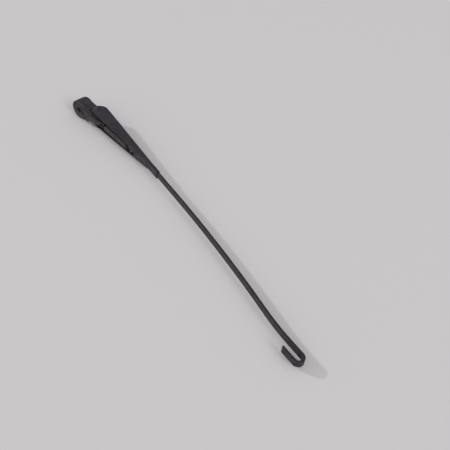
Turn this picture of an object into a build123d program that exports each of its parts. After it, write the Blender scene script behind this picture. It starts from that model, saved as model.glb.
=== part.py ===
from build123d import *
import os
from math import atan2, ceil, cos, degrees, hypot, radians, sin

# Wiper arm for a hooked blade, lying on its side.
# X runs from the spindle along the mounting head, Y points away from the windscreen, Z is the arm's width.
# The origin is on the spindle axis, at the underside of the boss. All sizes are in millimetres.

# Mounting head: the cast boss on the wiper spindle
BOSS_RADIUS = 14.3
BOSS_TOP_RADIUS = 13.8
BOSS_HEIGHT = 19.6
BOSS_TOP_ROUND = 2.8
BOSS_FOOT_ROUND = 0.9
BORE_RADIUS = 4.5
NUT_SEAT_RADIUS = 9.0
NUT_SEAT_DEPTH = 7.6
HUB_RADIUS = 6.8
RIM_WIDTH = 2.4
FOOT_GROOVE_DEPTH = 1.2

# Mounting head: the neck and the tongue that reaches into the channel
NECK_TOP_DROP = 0.1
NECK_SHOULDER = 5.4
NECK_SHOULDER_DROP = 1.9
NECK_SHOULDER_HALF_WIDTH = 9.4
NECK_STEP = 0.8
NECK_TAPER = 7.2
NECK_ROOT_HALF_WIDTH = 11.5
NECK_FLOOR = -3.4
RELIEF_DROP = 1.0
TONGUE_HALF_WIDTH = 3.4
BARREL_RADIUS = 5.8
BARREL_HALF_WIDTH = 7.6
STOP_PAD_START = 9.0
STOP_PAD_END = 19.0
TONGUE_WAIST = 17.0
STOP_GAP = 0.3
TAIL_LENGTH = 31.5
TAIL_TOP = 3.6
TAIL_ROOT = 23.0
TONGUE_MOUTH_INSET = 0.6
TONGUE_WAIST_DROP = 2.6
FORK_SLOT_HALF_WIDTH = 1.8
FORK_SLOT_LENGTH = 9.0

# Hinge between head and channel; its reach is measured from the boss's side
HINGE_REACH = 12.4
HINGE_Y = 9.9
FOLD_ANGLE = 16.25
HINGE_PIN_RADIUS = 2.5
HINGE_HEAD_RADIUS = 4.3
HINGE_HEAD_HEIGHT = 1.8
HINGE_RUNNING_GAP = 0.05
RIVETED_GAP = 0.02
WASHER_RADIUS = 5.5
WASHER_GAP = 0.1

# Channel, folded from sheet; lengths along it are measured from the hinge
SHEET = 1.0
FOLD_RADIUS = 1.8
CHANNEL_HALF_WIDTH = 10.9
TAPER_START = 12.0
NOSE_CENTRE = 7.4
NOSE_RADIUS = 14.0
NOSE_SHEET_START = 2.0
EAR_RADIUS = 8.2
MOUTH_START = 15.0
MOUTH_START_Y = -5.8
LIP_START = 103.0
LIP_CLOSED = 106.5
RAMP_START = 135.2
LIP_END_Y = 9.3
FERRULE_START = 138.7
FERRULE_END = 161.2
CRIMP_GAP = 0.05
SEAM_WIDTH = 0.8
LIP_SLOT_X = 111.7
LIP_SLOT_LENGTH = 4.6
LIP_SLOT_WIDTH = 1.6
LIP_SLOT_INSET = 1.8

# Rod of flat bar with its hook
ROD_OFFSET = 13.1
ROD_WIDTH = 9.0
ROD_THICKNESS = 3.0
ROD_EDGE_ROUND = 0.75
ROD_STRAIGHT = 49.5
ROD_SWEEP_LENGTH = 201.0
ROD_SWEEP_ANGLE = 5.24
ROD_SET_LENGTH = 42.4
ROD_SET_ANGLE = 7.32
HOOK_SHANK = 18.7
HOOK_GAP = 8.0
HOOK_LEG = 18.4
HOOK_TIP_BEVEL = 1.2
TIP_DENT_LENGTH = 4.0
TIP_DENT_WIDTH = 2.0
TIP_DENT_DEPTH = 0.7
TIP_DENT_SETBACK = 2.6

# Hollow rivet that holds the rod's inner end and the spring
RIVET_X = 95.8
RIVET_SHANK_RADIUS = 3.0
RIVET_HEAD_RADIUS = 4.6
RIVET_HEAD_HEIGHT = 0.9
RIVET_NECK_LENGTH = 4.1
RIVET_RING_RADIUS = 4.4
RIVET_RING_HEIGHT = 1.4
RIVET_HOLE_RADIUS = 2.6
RIVET_HOLE_END_RADIUS = 1.8
RIVET_HOLE_DEPTH = 7.0

# Tension spring and the pin it pulls on
ANCHOR_SETBACK = 4.0
ANCHOR_Y = 0.1
ANCHOR_RADIUS = 1.8
WIRE_RADIUS = 0.65
COIL_RADIUS = 2.9
COIL_TURNS = 24
HOOK_STEM = 8.0
SPRING_SEAT_GAP = 0.2
HOOK_BEND_RADIUS = 1.6
HOOK_WRAP = 225.0
EYE_RISE = 3.2
WIRE_SIDES = 6
WIRE_STEP = 24.0
SPRING_END_LIFT = 1.5

# Values that follow from the sizes above
EPS = 0.01
ROUND_SHARE = 0.29
FAR = 60.0
HINGE_X = BOSS_RADIUS + HINGE_REACH
WASHER_BORE = HINGE_PIN_RADIUS + WASHER_GAP
CHANNEL_TOP = ROD_OFFSET + ROD_THICKNESS / 2 + CRIMP_GAP + SHEET
FERRULE_BOTTOM = ROD_OFFSET - ROD_THICKNESS / 2 - CRIMP_GAP - SHEET
FERRULE_HALF_WIDTH = ROD_WIDTH / 2 + CRIMP_GAP + SHEET
NOSE_CENTRE_Y = CHANNEL_TOP - NOSE_RADIUS
ROD_BOTTOM = ROD_OFFSET - ROD_THICKNESS / 2
RIVET_NECK_BOTTOM = ROD_BOTTOM - RIVET_NECK_LENGTH
SPRING_END_Y = RIVET_NECK_BOTTOM + SPRING_END_LIFT
ANCHOR_X = TAIL_LENGTH - ANCHOR_SETBACK
ARM = Location((HINGE_X, HINGE_Y, 0), (0, 0, -FOLD_ANGLE))


def mouth_y(x):
    """Height of the channel's mouth edge, which rises straight from the hinge to the ferrule."""
    slope = (LIP_END_Y - MOUTH_START_Y) / (RAMP_START - MOUTH_START)
    return MOUTH_START_Y + slope * (x - MOUTH_START)


def half_width(x):
    """Half of the channel's outer width, which tapers straight from the hinge to the ferrule."""
    share = (x - TAPER_START) / (FERRULE_START - TAPER_START)
    return CHANNEL_HALF_WIDTH + share * (FERRULE_HALF_WIDTH - CHANNEL_HALF_WIDTH)


def at_rest(x, y):
    """A point given along the channel, in the head's own frame, with the arm at its stop."""
    turn = radians(-FOLD_ANGLE)
    return (HINGE_X + x * cos(turn) - y * sin(turn), HINGE_Y + x * sin(turn) + y * cos(turn))


def across(face, reach):
    """Solid of a side profile, drawn in X and Y, carried equally to both sides."""
    return extrude(face, reach, both=True)


def upright(face, reach):
    """Solid of a plan profile, drawn in X and Z, carried up and down."""
    return extrude(Plane.XZ * face, reach, both=True)


def polygon(*points):
    return make_face(Polyline(*points, close=True))


def mirrored_plan(*points):
    """Plan outline from the points of one side, mirrored about the arm's centre line."""
    other_side = [(x, -z) for x, z in reversed(points)]
    return polygon(*points, *other_side)


def pin_along_width(x, y, radius, half_length):
    return Location((x, y, 0)) * extrude(Circle(radius), half_length, both=True)


def turned(*points):
    """Solid of revolution about Y, from a half section."""
    return revolve(polygon(*points), Axis.Y)


def rounded_rim(radius, y, size):
    """Half section of a rim rounded in two flats; a negative size turns it downwards."""
    flat = ROUND_SHARE * size
    return [(radius, y - size), (radius - abs(flat), y - flat), (radius - abs(size), y)]


def boss():
    foot = reversed(rounded_rim(BOSS_RADIUS, 0, -BOSS_FOOT_ROUND))
    top = rounded_rim(BOSS_TOP_RADIUS, BOSS_HEIGHT, BOSS_TOP_ROUND)
    body = turned((0, 0), *foot, *top, (0, BOSS_HEIGHT))
    rim = BOSS_RADIUS - RIM_WIDTH
    groove = turned(
        (HUB_RADIUS, 0),
        (rim, 0),
        (rim - FOOT_GROOVE_DEPTH, FOOT_GROOVE_DEPTH),
        (HUB_RADIUS + FOOT_GROOVE_DEPTH / 2, FOOT_GROOVE_DEPTH),
    )
    return body - groove


def neck_and_tongue():
    shoulder_x = BOSS_RADIUS + NECK_SHOULDER
    relief_y = HINGE_Y - RELIEF_DROP
    pad_y = CHANNEL_TOP - SHEET - STOP_GAP
    half_pad = pad_y / 2
    tail_floor = mouth_y(TAIL_LENGTH) + TONGUE_MOUTH_INSET
    side = polygon(
        (0, FOOT_GROOVE_DEPTH),
        (BOSS_RADIUS - RIM_WIDTH, FOOT_GROOVE_DEPTH),
        (shoulder_x, NECK_FLOOR),
        at_rest(TONGUE_WAIST, mouth_y(TONGUE_WAIST) - TONGUE_WAIST_DROP),
        at_rest(TAIL_LENGTH, tail_floor),
        at_rest(TAIL_LENGTH, TAIL_TOP),
        at_rest(TAIL_ROOT, TAIL_TOP),
        at_rest(STOP_PAD_END, pad_y),
        at_rest(STOP_PAD_START, pad_y),
        at_rest(STOP_PAD_START - half_pad, half_pad),
        (HINGE_X, HINGE_Y),
        (HINGE_X - BARREL_RADIUS, relief_y),
        (shoulder_x, relief_y),
        (shoulder_x, BOSS_HEIGHT - NECK_TOP_DROP - NECK_SHOULDER_DROP),
        (0, BOSS_HEIGHT - NECK_TOP_DROP),
    )
    reach = at_rest(TAIL_LENGTH, TAIL_TOP)[0] + FAR
    plan = mirrored_plan(
        (0, NECK_ROOT_HALF_WIDTH),
        (BOSS_RADIUS, NECK_SHOULDER_HALF_WIDTH),
        (shoulder_x, NECK_SHOULDER_HALF_WIDTH),
        (shoulder_x + NECK_STEP, BARREL_HALF_WIDTH),
        (shoulder_x + NECK_STEP + NECK_TAPER, TONGUE_HALF_WIDTH),
        (reach, TONGUE_HALF_WIDTH),
    )
    return across(side, FAR) & upright(plan, FAR)


def mounting_head():
    barrel = pin_along_width(HINGE_X, HINGE_Y, BARREL_RADIUS, BARREL_HALF_WIDTH)
    body = boss() + neck_and_tongue() + barrel
    nut_seat = Pos(0, BOSS_HEIGHT, 0) * Rot(90, 0, 0) * Cylinder(NUT_SEAT_RADIUS, 2 * NUT_SEAT_DEPTH)
    bore = Rot(90, 0, 0) * Cylinder(BORE_RADIUS, FAR)
    slot_start = TAIL_LENGTH - FORK_SLOT_LENGTH
    slot = ARM * Pos(slot_start + FAR / 2, 0, 0) * Box(FAR, FAR, 2 * FORK_SLOT_HALF_WIDTH)
    hinge = pin_along_width(HINGE_X, HINGE_Y, HINGE_PIN_RADIUS + HINGE_RUNNING_GAP, FAR)
    anchor = ARM * pin_along_width(ANCHOR_X, ANCHOR_Y, ANCHOR_RADIUS + EPS, FAR)
    return body - nut_seat - bore - slot - hinge - anchor


def spring_pin():
    return ARM * pin_along_width(ANCHOR_X, ANCHOR_Y, ANCHOR_RADIUS, TONGUE_HALF_WIDTH)


def hinge_pin():
    """Rivet along the width, with a rounded head outside each wall of the channel."""
    seat = CHANNEL_HALF_WIDTH + RIVETED_GAP
    crown = seat + HINGE_HEAD_HEIGHT
    half = turned(
        (0, 0),
        (HINGE_PIN_RADIUS, 0),
        (HINGE_PIN_RADIUS, seat),
        *rounded_rim(HINGE_HEAD_RADIUS, crown, HINGE_HEAD_HEIGHT),
        (0, crown),
    )
    half = Rot(90, 0, 0) * half
    return Pos(HINGE_X, HINGE_Y, 0) * (half + mirror(half, Plane.XY))


def hinge_washer(side):
    inner_face = BARREL_HALF_WIDTH + WASHER_GAP
    outer_face = CHANNEL_HALF_WIDTH - SHEET - WASHER_GAP
    ring = extrude(Circle(WASHER_RADIUS) - Circle(WASHER_BORE), outer_face - inner_face)
    ring = Pos(0, 0, inner_face) * ring
    if side < 0:
        ring = mirror(ring, Plane.XY)
    return Pos(HINGE_X, HINGE_Y, 0) * ring


def channel_block(inset):
    """The channel's outer form, or with an inset its inside, before its walls are trimmed."""
    top = CHANNEL_TOP - inset
    nose = NOSE_RADIUS - inset
    front = NOSE_CENTRE - nose
    end = FERRULE_END + (FAR if inset else 0)
    with BuildLine() as outline:
        Line((end, top), (NOSE_CENTRE, top))
        CenterArc((NOSE_CENTRE, NOSE_CENTRE_Y), nose, 90, 90)
        Polyline((front, NOSE_CENTRE_Y), (front, -FAR), (end, -FAR), (end, top))
    side = make_face(outline.line)
    plan = mirrored_plan(
        (-FAR, CHANNEL_HALF_WIDTH - inset),
        (TAPER_START, CHANNEL_HALF_WIDTH - inset),
        (FERRULE_START, FERRULE_HALF_WIDTH - inset),
        (end + FAR, FERRULE_HALF_WIDTH - inset),
    )
    block = across(side, FAR) & upright(plan, 2 * FAR)
    folds = [
        edge
        for edge in block.edges()
        if abs(edge.center().Z) > FOLD_RADIUS
        and (edge.center().Y > top - EPS or edge.geom_type == GeomType.CIRCLE)
        and edge.bounding_box().size.X > FOLD_RADIUS
    ]
    return fillet(folds, FOLD_RADIUS - inset)


def wall_outline():
    """Side view of the channel: rounded ear, rising mouth edge, ramp and crimped ferrule."""
    front = NOSE_CENTRE - NOSE_RADIUS
    ear_bottom = (front + EAR_RADIUS, NOSE_CENTRE_Y - EAR_RADIUS)
    with BuildLine() as outline:
        Polyline((FERRULE_END, FAR), (front, FAR), (front, NOSE_CENTRE_Y))
        CenterArc((front + EAR_RADIUS, NOSE_CENTRE_Y), EAR_RADIUS, 180, 90)
        Polyline(
            ear_bottom,
            (MOUTH_START, MOUTH_START_Y),
            (RAMP_START, LIP_END_Y),
            (FERRULE_START, FERRULE_BOTTOM),
            (FERRULE_END, FERRULE_BOTTOM),
            (FERRULE_END, FAR),
        )
    return make_face(outline.line)


def lip_strip():
    """Side view of the sheet folded in under the rod."""
    return polygon(
        (LIP_START, mouth_y(LIP_START)),
        (RAMP_START, LIP_END_Y),
        (FERRULE_START, FERRULE_BOTTOM),
        (FERRULE_END, FERRULE_BOTTOM),
        (FERRULE_END, FERRULE_BOTTOM + SHEET),
        (FERRULE_START, FERRULE_BOTTOM + SHEET),
        (RAMP_START, LIP_END_Y + SHEET),
        (LIP_START, mouth_y(LIP_START) + SHEET),
    )


def arm_channel():
    outer = channel_block(0)
    walls = (outer - channel_block(SHEET)) & across(wall_outline(), FAR)
    lips = outer & across(lip_strip(), FAR)
    body = walls + lips
    seam = SEAM_WIDTH / 2
    mouth_end = mirrored_plan(
        (LIP_START - EPS, half_width(LIP_START) - SHEET),
        (LIP_CLOSED, seam),
        (FERRULE_END + FAR, seam),
    )
    below_rod = Pos(0, ROD_OFFSET - FAR / 2, 0)
    body -= below_rod * upright(mouth_end, FAR / 2)
    inner_half = CHANNEL_HALF_WIDTH - SHEET
    body -= Pos(NOSE_SHEET_START - FAR / 2, 0, 0) * Box(FAR, 2 * FAR, 2 * inner_half)
    body -= pin_along_width(0, 0, HINGE_PIN_RADIUS + RIVETED_GAP, FAR)
    rivet_hole = Rot(90, 0, 0) * Cylinder(RIVET_SHANK_RADIUS + RIVETED_GAP, FAR)
    body -= Pos(RIVET_X, CHANNEL_TOP, 0) * rivet_hole
    slot = Box(LIP_SLOT_LENGTH, FAR / 2, LIP_SLOT_WIDTH)
    slot_z = half_width(LIP_SLOT_X) - LIP_SLOT_INSET
    body -= Pos(LIP_SLOT_X, ROD_BOTTOM - FAR / 4, slot_z) * slot
    return ARM * body


def rod_path():
    """Centre line of the bar from the rivet to the tip of the hook's leg."""
    sweep_radius = ROD_SWEEP_LENGTH / radians(ROD_SWEEP_ANGLE)
    set_radius = ROD_SET_LENGTH / radians(ROD_SET_ANGLE)
    hook_radius = (HOOK_GAP + ROD_THICKNESS) / 2
    run = Line((RIVET_X, ROD_OFFSET), (FERRULE_END + ROD_STRAIGHT, ROD_OFFSET))
    bow = JernArc(run @ 1, run % 1, sweep_radius, -ROD_SWEEP_ANGLE)
    back = JernArc(bow @ 1, bow % 1, set_radius, ROD_SET_ANGLE)
    shank = Line(back @ 1, back @ 1 + (back % 1) * HOOK_SHANK)
    bend = JernArc(shank @ 1, shank % 1, hook_radius, -180)
    leg = Line(bend @ 1, bend @ 1 + (bend % 1) * HOOK_LEG)
    return Wire([run, bow, back, shank, bend, leg])


def wiper_rod():
    path = rod_path()
    start = Plane(origin=path @ 0, x_dir=(0, 0, 1), z_dir=path % 0)
    bar = sweep(start * RectangleRounded(ROD_WIDTH, ROD_THICKNESS, ROD_EDGE_ROUND), path)
    eye = Pos(RIVET_X, ROD_OFFSET, 0) * Rot(90, 0, 0) * Cylinder(ROD_WIDTH / 2, ROD_THICKNESS)
    hole = Pos(RIVET_X, ROD_OFFSET, 0) * Rot(90, 0, 0) * Cylinder(RIVET_SHANK_RADIUS + RIVETED_GAP, FAR)
    tip = Plane(origin=path @ 1, x_dir=path % 1, z_dir=(0, 0, 1))
    outside = ROD_THICKNESS / 2
    bevel = polygon((EPS, outside + EPS), (-HOOK_TIP_BEVEL, outside + EPS), (EPS, outside - HOOK_TIP_BEVEL))
    dent_x = -TIP_DENT_SETBACK - TIP_DENT_LENGTH / 2
    dent_z = TIP_DENT_WIDTH - ROD_WIDTH / 2
    dent = Pos(dent_x, outside, dent_z) * Box(TIP_DENT_LENGTH, 2 * TIP_DENT_DEPTH, TIP_DENT_WIDTH)
    return ARM * (bar + eye - hole - tip * across(bevel, FAR) - tip * dent)


def rod_rivet():
    section = turned(
        (0, CHANNEL_TOP + RIVET_HEAD_HEIGHT),
        (RIVET_HEAD_RADIUS - RIVET_HEAD_HEIGHT, CHANNEL_TOP + RIVET_HEAD_HEIGHT),
        (RIVET_HEAD_RADIUS, CHANNEL_TOP + RIVETED_GAP),
        (RIVET_SHANK_RADIUS, CHANNEL_TOP + RIVETED_GAP),
        (RIVET_SHANK_RADIUS, RIVET_NECK_BOTTOM),
        (RIVET_RING_RADIUS, RIVET_NECK_BOTTOM),
        (RIVET_RING_RADIUS, RIVET_NECK_BOTTOM - RIVET_RING_HEIGHT),
        (RIVET_HOLE_RADIUS, RIVET_NECK_BOTTOM - RIVET_RING_HEIGHT),
        (RIVET_HOLE_END_RADIUS, RIVET_NECK_BOTTOM - RIVET_RING_HEIGHT + RIVET_HOLE_DEPTH),
        (0, RIVET_NECK_BOTTOM - RIVET_RING_HEIGHT + RIVET_HOLE_DEPTH),
    )
    return ARM * Pos(RIVET_X, 0, 0) * section


def arc_points(centre, first, second, start, stop):
    """Points of an arc about the centre; first and second are its radii at 0 and at 90 degrees."""
    steps = ceil(abs(stop - start) / WIRE_STEP)
    angles = [radians(start + (stop - start) * i / steps) for i in range(steps + 1)]
    return [Vector(*centre) + Vector(*first) * cos(a) + Vector(*second) * sin(a) for a in angles]


def spring_line(length):
    """Centre line of the spring's wire from eye to eye; the coil runs along Z, and the near one's pin along Y."""
    coil_length = length - 2 * HOOK_STEM
    near_eye = ANCHOR_RADIUS + WIRE_RADIUS + SPRING_SEAT_GAP
    far_eye = RIVET_SHANK_RADIUS + WIRE_RADIUS + SPRING_SEAT_GAP
    bend = HOOK_BEND_RADIUS
    steps = ceil(360 * COIL_TURNS / WIRE_STEP)
    near = arc_points((EYE_RISE, 0, -HOOK_STEM), (-near_eye, 0, 0), (0, 0, -near_eye), HOOK_WRAP, 0)
    near += arc_points((COIL_RADIUS, 0, -bend), (0, -bend, 0), (0, 0, bend), 0, 90)
    coil = []
    for step in range(1, steps):
        angle = radians(360 * COIL_TURNS * step / steps)
        coil.append(Vector(COIL_RADIUS * cos(angle), COIL_RADIUS * sin(angle), coil_length * step / steps))
    far = arc_points((COIL_RADIUS, 0, coil_length + bend), (0, 0, -bend), (0, bend, 0), 0, 90)
    far += arc_points((EYE_RISE, 0, coil_length + HOOK_STEM), (0, far_eye, 0), (0, 0, far_eye), 0, HOOK_WRAP)
    return near + coil + far


def wire_along(points):
    """Wire of many-sided section through the points."""
    side = Vector(0, 1, 0)
    sections = []
    for before, point, after in zip(points[:1] + points, points, points[1:] + points[-1:]):
        along = (after - before).normalized()
        side = (side - along * side.dot(along)).normalized()
        section = Plane(origin=point, x_dir=side, z_dir=along)
        sections.append(section * RegularPolygon(WIRE_RADIUS, WIRE_SIDES))
    return loft(sections, ruled=True)


def tension_spring():
    dx = RIVET_X - ANCHOR_X
    dy = SPRING_END_Y - ANCHOR_Y
    wire = wire_along(spring_line(hypot(dx, dy)))
    slope = Rot(0, 0, degrees(atan2(dy, dx)))
    stand = Plane(origin=(0, 0, 0), x_dir=(0, 1, 0), z_dir=(1, 0, 0))
    seat = Pos(ANCHOR_X, ANCHOR_Y, 0) * slope * stand.location
    return ARM * seat * Pos(-EYE_RISE, 0, HOOK_STEM) * wire


PIECES = {
    "mounting_head": mounting_head(),
    "spring_pin": spring_pin(),
    "hinge_washer_upper": hinge_washer(1),
    "hinge_washer_lower": hinge_washer(-1),
    "hinge_pin": hinge_pin(),
    "arm_channel": arm_channel(),
    "wiper_rod": wiper_rod(),
    "rod_rivet": rod_rivet(),
    "tension_spring": tension_spring(),
}

os.makedirs("parts", exist_ok=True)
for node, shape in PIECES.items():
    export_step(shape, f"parts/{node}.step")
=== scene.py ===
from math import atan2, ceil, cos, radians, sin

import bpy
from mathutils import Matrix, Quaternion, Vector


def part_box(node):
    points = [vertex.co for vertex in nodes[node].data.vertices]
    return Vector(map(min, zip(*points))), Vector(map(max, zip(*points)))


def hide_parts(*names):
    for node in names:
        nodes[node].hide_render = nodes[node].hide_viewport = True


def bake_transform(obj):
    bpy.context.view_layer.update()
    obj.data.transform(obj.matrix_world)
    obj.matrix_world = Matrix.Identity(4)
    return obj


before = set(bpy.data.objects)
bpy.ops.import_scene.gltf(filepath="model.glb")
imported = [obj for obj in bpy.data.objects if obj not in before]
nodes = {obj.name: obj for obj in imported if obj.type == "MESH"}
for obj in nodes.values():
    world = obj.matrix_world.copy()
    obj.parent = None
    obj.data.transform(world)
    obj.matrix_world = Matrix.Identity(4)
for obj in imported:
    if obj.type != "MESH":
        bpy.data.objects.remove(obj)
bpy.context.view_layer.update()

UPWARD = Vector((0, 0, 1))

# Camera, in metres, at the photograph's angle
LENS_MM = 44.8
SENSOR_MM = 36.0
CAMERA_PLACE = Vector((0.5875, -0.4181, 0.4831))
CAMERA_TARGET = Vector((0.2991, -0.0201, -0.015))
CAMERA_ROLL = radians(-5.69)
CAMERA_NEAR = 0.01

# Light: a lamp lies this far to the camera's right and away from it, for a height of 1
# Its spread is in degrees, and the sky's strength falls by its share towards the far side
SKY_STRENGTH = 0.66
SKY_FALL = 0.65
BACK_LAMP = {"right": -1.81, "away": 0.57, "strength": 1.1, "spread": 3.0}
FRONT_LAMP = {"right": 1.1, "away": -1.2, "strength": 1.1, "spread": 25.0}

# Floor, in metres: the boss rests on it, and the hook is just clear of it
FLOOR_SIZE = 8.0
HOOK_CLEARANCE = 0.0047
FLOOR_COLOUR = (0.58, 0.566, 0.573)
FLOOR_ROUGHNESS = 0.6
FLOOR_GLOSS = 0.2

# Patterns: noise in cycles per metre, and its values where the pattern starts and where it is full
NOISE_ROUGHNESS = 0.55
MOTTLE = {"scale": 55, "detail": 6, "start": 0.35, "full": 0.7}
# Lighter patches on the side facing the windscreen: part wear, part painted light
RUBBED_AND_LIT = {"scale": 240, "detail": 5, "start": 0.42, "full": 0.64}
SPECKS = {"scale": 700, "detail": 3, "start": 0.6, "full": 0.72}
STAINS = {"scale": 320, "detail": 5, "start": 0.4, "full": 0.66}
RUST = {"scale": 240, "detail": 6, "start": 0.35, "full": 0.65}
GRIT = {"scale": 1400, "detail": 3, "start": 0.5, "full": 0.75}

# Paint: chips start at a lower noise value where more of an edge is worn
SPECK_STRENGTH = 0.45
CHIPS = {"scale": 260, "detail": 5}
CHIP_START = 0.62
CHIP_FADE = 0.1
SHEEN = {"scale": 120, "detail": 5}
SMOOTHEST = 0.46
ROUGHEST = 0.7
PAINT_GRAIN_DETAIL = 4
PAINT_GRAIN_STRENGTH = 0.6

# Edges are worn and softened within these distances, in metres
# The cosines between the plain and the softened surface tell an edge from an open face
EDGE_WEAR = 0.0007
EDGE_SOFTNESS = 0.0003
OPEN_FACE = 0.995
SHARP_EDGE = 0.86

# The side that faces the windscreen, turned to the front lamp, is lighter in rubbed patches between these
# cosines: part wear, part painted light
UNDERSIDE = (0, -1, 0)
RUB_AND_LIGHT_START = 0.2
RUB_AND_LIGHT_FULL = 0.8

# Steel and rust: grain depth is in metres
STEEL_METALLIC = 0.6
STEEL_GRAIN = {"scale": 1500, "detail": 3, "depth": 0.0001, "strength": 0.5}
RUST_DARK = (0.044, 0.032, 0.034)
RUST_LIGHT = (0.1, 0.068, 0.065)
RUST_GRIT = (0.14, 0.105, 0.096)
RUST_ROUGHNESS = 0.75
RUST_GRAIN = {"scale": 1800, "detail": 4, "depth": 0.00012, "strength": 0.7}

# Spring, in metres and degrees: a coil of round wire with one eye round the pin and one round the rivet
NEAR_EYE = sum(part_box("spring_pin"), Vector()) / 2
FAR_EYE = Vector((0.12119, -0.00827, 0))
PIN_RADIUS = 0.0018
RIVET_RADIUS = 0.003
SEAT_GAP = 0.0002
WIRE_RADIUS = 0.00065
WIRE_ROUNDNESS = 2
WIRE_STEP = 15
COIL_RADIUS = 0.0029
COIL_TURNS = 24
NEAR_EYE_RADIUS = PIN_RADIUS + SEAT_GAP + WIRE_RADIUS
FAR_EYE_RADIUS = RIVET_RADIUS + SEAT_GAP + WIRE_RADIUS
EYE_RISE = 0.0032
EYE_WRAP = 225
STEM = 0.008
BEND_RADIUS = 0.0016

# The spring's own axes: along its coil, across the arm and up into the channel
SPRING_ALONG = (FAR_EYE - NEAR_EYE).normalized()
SPRING_ACROSS = Vector((0, 0, 1))
SPRING_UP = SPRING_ACROSS.cross(SPRING_ALONG)

# Spots, in metres: centre, radius and colour
# The ears are rubbed about the hinge, old grease clings to the neck, and painted shade darkens the neck
# where the ear and wall shade it, and the tip's dent
GREASE = (0.17, 0.14, 0.085)
# Colour of painted shade
PAINTED_SHADE = (0.006, 0.004, 0.004)
EAR_RUB = (0.04, 0.034, 0.044)
EAR_RUB_RADIUS = 0.0055
HINGE_LOW, HINGE_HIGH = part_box("hinge_pin")
HINGE = (HINGE_LOW + HINGE_HIGH) / 2
EAR_SPOTS = [
    ((HINGE.x, HINGE.y, HINGE_HIGH.z), EAR_RUB_RADIUS, EAR_RUB),
    ((HINGE.x, HINGE.y, HINGE_LOW.z), EAR_RUB_RADIUS, EAR_RUB),
]
NECK_SPOTS = [
    ((0.0219, -0.0033, 0.0047), 0.0012, GREASE),
    ((0.0248, -0.0001, 0.0051), 0.0011, GREASE),
    # Painted shade, where the ear and the wall shade the neck
    ((0.0255, -0.0032, 0.004), 0.0015, PAINTED_SHADE),
    ((0.0178, -0.0022, 0.0038), 0.0013, PAINTED_SHADE),
]
# Painted shade in the dent at the hook's tip
TIP_SPOTS = [((0.4648, -0.1275, -0.0022), 0.0032, PAINTED_SHADE)]

# A spot's rim is ragged, and fades between these shares of its radius
SPOT_RIM = {"scale": 1500, "detail": 2}
SPOT_OUTSIDE = 1.4
SPOT_INSIDE = 0.7

# The hollow rivet's hole gets painted shade about the far eye's centre, which fades from this share of
# the radius
HOLLOW_RADIUS = 0.004
HOLLOW_INSIDE = 0.9


def tree_of(name):
    """A new material, its node tree and its shader."""
    material = bpy.data.materials.new(name)
    material.use_nodes = True
    tree = material.node_tree
    return material, tree, tree.nodes["Principled BSDF"]


def fill(tree, socket, value):
    """Links a socket, or sets a plain value."""
    if isinstance(value, bpy.types.NodeSocket):
        tree.links.new(value, socket)
    else:
        socket.default_value = value


def add(tree, kind, **values):
    """A new node, with its named inputs filled."""
    node = tree.nodes.new("ShaderNode" + kind)
    for key, value in values.items():
        fill(tree, node.inputs[key.replace("_", " ")], value)
    return node


def calculate(tree, kind, operation, a, b):
    """Result of a Math or VectorMath node that gives a number."""
    node = tree.nodes.new("ShaderNode" + kind)
    node.operation = operation
    fill(tree, node.inputs[0], a)
    fill(tree, node.inputs[1], b)
    return node.outputs["Value"]


def times(tree, a, b):
    return calculate(tree, "Math", "MULTIPLY", a, b)


def plus(tree, a, b):
    return calculate(tree, "Math", "ADD", a, b)


def dot(tree, a, b):
    return calculate(tree, "VectorMath", "DOT_PRODUCT", a, b)


def coordinate(tree, kind):
    return tree.nodes.new("ShaderNodeTexCoord").outputs[kind]


def distance(tree, centre):
    """Distance from a point of the part's frame, in metres."""
    return calculate(tree, "VectorMath", "DISTANCE", coordinate(tree, "Object"), centre)


def colour(value):
    return value if isinstance(value, bpy.types.NodeSocket) else (*value, 1.0)


def mix(tree, share, a, b):
    """Colour a, or b where the share is 1."""
    node = tree.nodes.new("ShaderNodeMix")
    node.data_type = "RGBA"
    fill(tree, node.inputs["Factor"], share)
    fill(tree, node.inputs["A"], colour(a))
    fill(tree, node.inputs["B"], colour(b))
    return node.outputs["Result"]


def ramp(tree, value, start, full):
    """0 up to start and 1 from full, with an even rise between them; start may be above full."""
    node = add(tree, "MapRange", Value=value, From_Min=start, From_Max=full)
    return node.outputs["Result"]


def noise(tree, scale, detail):
    """Noise over the piece, in cycles per metre."""
    where = coordinate(tree, "Object")
    node = add(tree, "TexNoise", Vector=where, Scale=scale, Detail=detail, Roughness=NOISE_ROUGHNESS)
    return node.outputs["Fac"]


def pattern(tree, scale, detail, start, full):
    """Patches of noise: 1 where it is over full, and 0 where it is under start."""
    return ramp(tree, noise(tree, scale, detail), start, full)


def grain(tree, scale, detail, depth, strength):
    """A node of fine bumps, with their depth in metres."""
    return add(tree, "Bump", Height=noise(tree, scale, detail), Distance=depth, Strength=strength)


def edge_mask(tree):
    """1 on sharp edges, 0 on open faces."""
    softened = add(tree, "Bevel", Radius=EDGE_WEAR).outputs["Normal"]
    surface = tree.nodes.new("ShaderNodeNewGeometry").outputs["Normal"]
    return ramp(tree, dot(tree, softened, surface), OPEN_FACE, SHARP_EDGE)


def underside(tree):
    """Rises from 0 to 1 as the surface turns towards the windscreen."""
    return ramp(tree, dot(tree, coordinate(tree, "Normal"), UNDERSIDE), RUB_AND_LIGHT_START, RUB_AND_LIGHT_FULL)


def spot(tree, centre, radius):
    """1 about a point of the piece, with a ragged rim that fades to 0."""
    ragged = times(tree, noise(tree, **SPOT_RIM), radius)
    reach = plus(tree, distance(tree, centre), ragged)
    return ramp(tree, reach, radius * SPOT_OUTSIDE, radius * SPOT_INSIDE)


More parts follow.
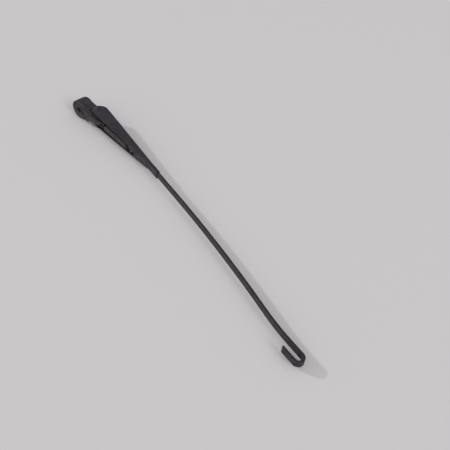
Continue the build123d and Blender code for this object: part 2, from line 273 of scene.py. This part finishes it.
def paint_colour(tree, base, light, rub, wear, worn_share, spots):
    """Aged black paint: mottled, lighter in rubbed patches on its underside (part wear, part painted
    light), specked, chipped at the edges, and stained or given painted shade at spots.
    """
    tone = mix(tree, pattern(tree, **MOTTLE), base, light)
    # Lighter in patches on the side facing the windscreen: part wear, part painted light
    tone = mix(tree, times(tree, underside(tree), pattern(tree, **RUBBED_AND_LIT)), tone, rub)
    tone = mix(tree, times(tree, pattern(tree, **SPECKS), SPECK_STRENGTH), tone, wear)
    chip_start = CHIP_START - worn_share
    chips = pattern(tree, **CHIPS, start=chip_start, full=chip_start + CHIP_FADE)
    tone = mix(tree, times(tree, edge_mask(tree), chips), tone, wear)
    # Spots of real wear and grease, and of painted shade
    for centre, radius, stain_and_shade in spots:
        tone = mix(tree, spot(tree, centre, radius), tone, stain_and_shade)
    return tone


def worn_paint(name, gloss, grain_scale, grain_depth, **surface):
    """Aged black paint with an uneven sheen, on a grainy ground with softened edges."""
    material, tree, shader = tree_of(name)
    fill(tree, shader.inputs["Base Color"], paint_colour(tree, **surface))
    sheen = add(tree, "MapRange", Value=noise(tree, **SHEEN), To_Min=SMOOTHEST, To_Max=ROUGHEST)
    fill(tree, shader.inputs["Roughness"], sheen.outputs["Result"])
    bumps = grain(tree, grain_scale, PAINT_GRAIN_DETAIL, grain_depth, PAINT_GRAIN_STRENGTH)
    softened = add(tree, "Bevel", Radius=EDGE_SOFTNESS).outputs["Normal"]
    fill(tree, bumps.inputs["Normal"], softened)
    fill(tree, shader.inputs["Normal"], bumps.outputs["Normal"])
    shader.inputs["Specular IOR Level"].default_value = gloss
    return material


def bare_steel(name, base, stain_and_shade, roughness, hollow=None):
    """Dull stained steel; painted shade darkens it about the centre of a hollow."""
    material, tree, shader = tree_of(name)
    tone = mix(tree, pattern(tree, **STAINS), base, stain_and_shade)
    if hollow is not None:
        # Painted shade inside the rivet's hole
        inside = ramp(tree, distance(tree, hollow), HOLLOW_RADIUS, HOLLOW_RADIUS * HOLLOW_INSIDE)
        tone = mix(tree, inside, tone, PAINTED_SHADE)
    fill(tree, shader.inputs["Base Color"], tone)
    shader.inputs["Metallic"].default_value = STEEL_METALLIC
    shader.inputs["Roughness"].default_value = roughness
    fill(tree, shader.inputs["Normal"], grain(tree, **STEEL_GRAIN).outputs["Normal"])
    return material


def rusty_wire(name):
    material, tree, shader = tree_of(name)
    tone = mix(tree, pattern(tree, **RUST), RUST_DARK, RUST_LIGHT)
    tone = mix(tree, pattern(tree, **GRIT), tone, RUST_GRIT)
    fill(tree, shader.inputs["Base Color"], tone)
    shader.inputs["Roughness"].default_value = RUST_ROUGHNESS
    fill(tree, shader.inputs["Normal"], grain(tree, **RUST_GRAIN).outputs["Normal"])
    return material


def channel_paint():
    return worn_paint(
        "channel_paint",
        base=(0.0122, 0.0085, 0.0165),
        light=(0.0245, 0.019, 0.03),
        # Lighter tone of the windscreen side: part wear, part painted light
        rub=(0.046, 0.039, 0.047),
        wear=(0.06, 0.053, 0.057),
        worn_share=0.06,
        spots=EAR_SPOTS,
        gloss=0.45,
        grain_scale=900,
        grain_depth=0.00006,
    )


def rod_paint():
    return worn_paint(
        "rod_paint",
        base=(0.0105, 0.0065, 0.0108),
        light=(0.0205, 0.0145, 0.0205),
        # Lighter tone of the windscreen side: part wear, part painted light
        rub=(0.033, 0.0255, 0.033),
        wear=(0.06, 0.053, 0.055),
        worn_share=0.08,
        spots=TIP_SPOTS,
        gloss=0.4,
        grain_scale=1100,
        grain_depth=0.00007,
    )


def head_paint():
    return worn_paint(
        "head_paint",
        base=(0.0125, 0.0078, 0.0125),
        light=(0.035, 0.027, 0.034),
        # Lighter tone of the windscreen side: part wear, part painted light
        rub=(0.054, 0.043, 0.047),
        wear=(0.085, 0.074, 0.066),
        worn_share=0.12,
        spots=NECK_SPOTS,
        gloss=0.4,
        grain_scale=520,
        grain_depth=0.00024,
    )


def pin_steel():
    return bare_steel("pin_steel", base=(0.12, 0.11, 0.118), stain_and_shade=(0.18, 0.165, 0.16), roughness=0.55)


def rivet_steel():
    return bare_steel(
        "rivet_steel",
        base=(0.14, 0.13, 0.138),
        stain_and_shade=(0.19, 0.175, 0.17),
        roughness=0.55,
        hollow=FAR_EYE,
    )


def washer_steel():
    return bare_steel("washer_steel", base=(0.09, 0.085, 0.08), stain_and_shade=(0.13, 0.11, 0.09), roughness=0.5)


def dress(material, *names):
    """Gives the CAD nodes of these names the material."""
    for name in names:
        for slot in nodes[name].material_slots:
            slot.material = material


def dress_solids():
    dress(channel_paint(), "arm_channel", "hinge_pin")
    dress(rod_paint(), "wiper_rod")
    dress(head_paint(), "mounting_head")
    dress(pin_steel(), "spring_pin")
    dress(rivet_steel(), "rod_rivet")
    dress(washer_steel(), "hinge_washer_upper", "hinge_washer_lower")


def arc(centre, first, second, start, stop):
    """Points about the centre; first and second are its radii at 0 and at 90 degrees."""
    steps = ceil(abs(stop - start) / WIRE_STEP)
    angles = [radians(start + (stop - start) * i / steps) for i in range(steps + 1)]
    return [Vector(centre) + cos(a) * Vector(first) + sin(a) * Vector(second) for a in angles]


def hook_line():
    """The near eye and its bend, in the spring's own axes: up, across and along."""
    eye = arc(
        centre=(EYE_RISE, 0, -STEM),
        first=(-NEAR_EYE_RADIUS, 0, 0),
        second=(0, 0, -NEAR_EYE_RADIUS),
        start=EYE_WRAP,
        stop=0,
    )
    bend = arc(
        centre=(COIL_RADIUS, 0, -BEND_RADIUS),
        first=(0, -BEND_RADIUS, 0),
        second=(0, 0, BEND_RADIUS),
        start=0,
        stop=90,
    )
    return eye + bend


def coil_line():
    """The coil, its bend and the far eye, in the spring's own axes, from where the hook ends."""
    length = (FAR_EYE - NEAR_EYE).length - 2 * STEM
    steps = COIL_TURNS * 360 // WIRE_STEP
    coil = []
    for step in range(steps):
        angle = radians(step * WIRE_STEP)
        run = length * step / steps
        coil.append(Vector((COIL_RADIUS * cos(angle), COIL_RADIUS * sin(angle), run)))
    bend = arc(
        centre=(COIL_RADIUS, 0, length + BEND_RADIUS),
        first=(0, 0, -BEND_RADIUS),
        second=(0, BEND_RADIUS, 0),
        start=0,
        stop=90,
    )
    eye = arc(
        centre=(EYE_RISE, 0, length + STEM),
        first=(0, FAR_EYE_RADIUS, 0),
        second=(0, 0, FAR_EYE_RADIUS),
        start=0,
        stop=EYE_WRAP,
    )
    return coil + bend + eye


def spring_place(rise, side, run):
    """Place in the part's frame of a point that is in the spring's own axes."""
    return NEAR_EYE + SPRING_UP * (rise - EYE_RISE) + SPRING_ACROSS * side + SPRING_ALONG * (run + STEM)


def wire_mesh(name, points):
    """Mesh of round wire along points that are in the spring's own axes."""
    curve = bpy.data.curves.new(name, "CURVE")
    curve.dimensions = "3D"
    curve.bevel_depth = WIRE_RADIUS
    curve.bevel_resolution = WIRE_ROUNDNESS
    curve.use_fill_caps = True
    line = curve.splines.new("POLY")
    line.points.add(len(points) - 1)
    for target, point in zip(line.points, points):
        target.co = (*spring_place(*point), 1)
    source = bpy.data.objects.new(name + "_line", curve)
    bpy.context.scene.collection.objects.link(source)
    bpy.context.view_layer.update()
    solid = source.evaluated_get(bpy.context.evaluated_depsgraph_get())
    mesh = bpy.data.meshes.new_from_object(solid)
    bpy.data.objects.remove(source)
    return mesh


def wire(name, points, material):
    """A piece of round wire along the points, smoothly shaded, with the material, in place of the CAD
    spring.
    """
    mesh = wire_mesh(name, points)
    for face in mesh.polygons:
        face.use_smooth = True
    mesh.materials.clear()
    mesh.materials.append(material)
    piece = bpy.data.objects.new(name, mesh)
    bpy.context.scene.collection.objects.link(piece)
    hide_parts("tension_spring")
    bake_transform(piece)


def spring(material):
    """The spring as two pieces of wire: the hook with the near eye, and the coil with the far eye."""
    wire("spring_hook", hook_line(), material)
    wire("spring_coil", coil_line(), material)


def floor():
    boss_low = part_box("mounting_head")[0].z
    rod_low, rod_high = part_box("wiper_rod")
    slope = atan2(rod_low.z - HOOK_CLEARANCE - boss_low, rod_high.x)
    place = (0, 0, boss_low)
    bpy.ops.mesh.primitive_plane_add(size=FLOOR_SIZE, location=place, rotation=(0, -slope, 0))
    ground = bpy.context.object
    ground.name = "floor"
    material, _, shader = tree_of("pale_floor")
    shader.inputs["Base Color"].default_value = colour(FLOOR_COLOUR)
    shader.inputs["Roughness"].default_value = FLOOR_ROUGHNESS
    shader.inputs["Specular IOR Level"].default_value = FLOOR_GLOSS
    ground.data.materials.append(material)


def camera():
    data = bpy.data.cameras.new("camera")
    data.lens = LENS_MM
    data.sensor_width = SENSOR_MM
    data.clip_start = CAMERA_NEAR
    cam = bpy.data.objects.new("camera", data)
    forward = (CAMERA_TARGET - CAMERA_PLACE).normalized()
    upright = forward.to_track_quat("-Z", "Y")
    cam.rotation_mode = "QUATERNION"
    cam.rotation_quaternion = Quaternion(forward, CAMERA_ROLL) @ upright
    cam.location = CAMERA_PLACE
    bpy.context.scene.collection.objects.link(cam)
    bpy.context.scene.camera = cam


def ground_axes():
    """Level directions to the camera's right and away from it."""
    forward = CAMERA_TARGET - CAMERA_PLACE
    away_axis = Vector((forward.x, forward.y, 0)).normalized()
    return away_axis.cross(UPWARD), away_axis


def sky():
    """White light from all round, stronger on the camera's side than beyond the part."""
    world = bpy.data.worlds.new("studio")
    world.use_nodes = True
    tree = world.node_tree
    _, away_axis = ground_axes()
    fall = times(tree, dot(tree, coordinate(tree, "Generated"), away_axis), -SKY_FALL * SKY_STRENGTH)
    backdrop = tree.nodes["Background"]
    backdrop.inputs["Color"].default_value = (1, 1, 1, 1)
    fill(tree, backdrop.inputs["Strength"], plus(tree, fall, SKY_STRENGTH))
    bpy.context.scene.world = world


def sun(name, right, away, strength, spread):
    right_axis, away_axis = ground_axes()
    towards = right * right_axis + away * away_axis + UPWARD
    data = bpy.data.lights.new(name, "SUN")
    data.energy = strength
    data.angle = radians(spread)
    lamp = bpy.data.objects.new(name, data)
    lamp.rotation_mode = "QUATERNION"
    lamp.rotation_quaternion = towards.to_track_quat("Z", "Y")
    bpy.context.scene.collection.objects.link(lamp)


dress_solids()
spring(rusty_wire("spring_rust"))
floor()
camera()
sky()
sun("back_lamp", **BACK_LAMP)
sun("front_lamp", **FRONT_LAMP)
bpy.context.scene.view_settings.view_transform = "Standard"
